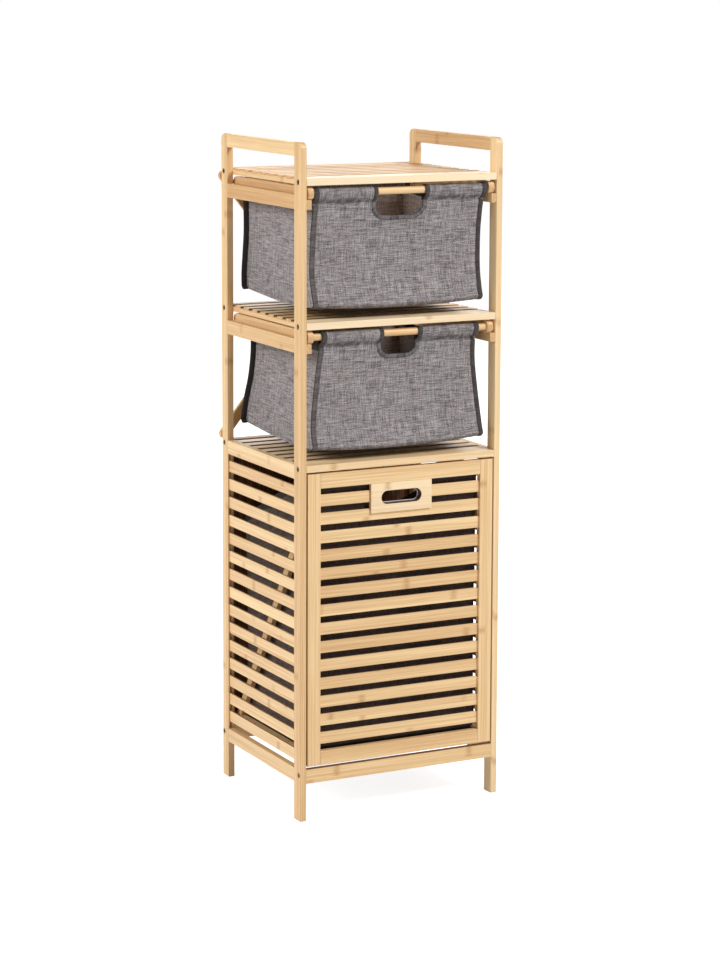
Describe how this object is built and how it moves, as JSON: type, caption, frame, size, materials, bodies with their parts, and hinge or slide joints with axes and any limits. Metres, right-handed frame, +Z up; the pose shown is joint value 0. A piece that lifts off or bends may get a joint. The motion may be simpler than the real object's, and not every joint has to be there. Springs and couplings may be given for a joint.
{
  "type": "bathroom cabinet",
  "caption": "Tall narrow bathroom storage tower: open shelf tray, sliding fabric baskets on runners and a slatted tilt-out laundry hamper with a hanging bag.",
  "frame": {"origin": "on the floor, under the middle of the tower's whole width and depth", "axes": "+X to the right seen from the door side, +Y to the back with the crossed brace, +Z up"},
  "size_m": [0.407, 0.338, 1.2],
  "materials": {
    "bamboo": "natural bamboo with a thin satin lacquer, fine long grain",
    "dark_panel": "thin dark brown panel, satin",
    "steel": "plain steel",
    "white_plastic": "moulded, matte",
    "basket_fabric": "heathered grey woven cloth with dark binding",
    "bag_fabric": "dark grey woven cloth",
    "board": "stiffening board, dark grey"
  },
  "bodies": {
    "frame": {"post_front_left": "bamboo", "post_front_right": "bamboo", "post_back_left": "bamboo", "post_back_right": "bamboo", "handle_rail_left": "bamboo", "handle_rail_right": "bamboo", "upper_side_rail_left": "bamboo", "upper_side_rail_right": "bamboo", "middle_side_rail_left": "bamboo", "middle_side_rail_right": "bamboo", "cabinet_side_rail_left": "bamboo", "cabinet_side_rail_right": "bamboo", "bottom_side_rail_left": "bamboo", "bottom_side_rail_right": "bamboo", "bottom_front_rail": "bamboo", "bottom_back_rail": "bamboo", "side_slats_left": "bamboo", "side_slats_right": "bamboo", "back_panel": "dark_panel", "upper_runners": "bamboo", "lower_runners": "bamboo", "top_shelf_front_board": "bamboo", "top_shelf_back_board": "bamboo", "top_shelf_slats": "bamboo", "middle_shelf_front_board": "bamboo", "middle_shelf_back_board": "bamboo", "middle_shelf_slats": "bamboo", "cabinet_shelf_front_board": "bamboo", "cabinet_shelf_back_board": "bamboo", "cabinet_shelf_slats": "bamboo", "shelf_battens": "bamboo", "brace_rising": "bamboo", "brace_falling": "bamboo", "brace_screws": "steel", "frame_bolts": "steel", "rail_dowels": "bamboo", "magnet_catch": "white_plastic"},
    "hamper_door": {"door_stile_left": "bamboo", "door_stile_right": "bamboo", "door_top_rail": "bamboo", "door_bottom_rail": "bamboo", "door_slat_set": "bamboo", "handle_plate": "bamboo", "strike_plate": "steel", "pivot_pins": "steel", "cradle_bottom_sticks": "bamboo", "cradle_diagonals": "bamboo", "cradle_cross_sticks": "bamboo", "cradle_board": "bamboo", "bag_tape": "bag_fabric", "laundry_bag": "bag_fabric"},
    "upper_basket": {"upper_basket_bars": "bamboo", "upper_basket_rods": "bamboo", "upper_basket_cloth": "basket_fabric", "upper_basket_board": "board"},
    "lower_basket": {"lower_basket_bars": "bamboo", "lower_basket_rods": "bamboo", "lower_basket_cloth": "basket_fabric", "lower_basket_board": "board"}
  },
  "joints": [
    {"name": "upper_basket_slide", "type": "slide", "parent": "frame", "child": "upper_basket", "axis": [0, -1, 0], "range_m": [0, 0.22]},
    {"name": "lower_basket_slide", "type": "slide", "parent": "frame", "child": "lower_basket", "axis": [0, -1, 0], "range_m": [0, 0.22]},
    {"name": "hamper_tilt", "type": "hinge", "parent": "frame", "child": "hamper_door", "pos_m": [0, -0.163, 0.111], "axis": [1, 0, 0], "range_deg": [0, 35]}
  ]
}
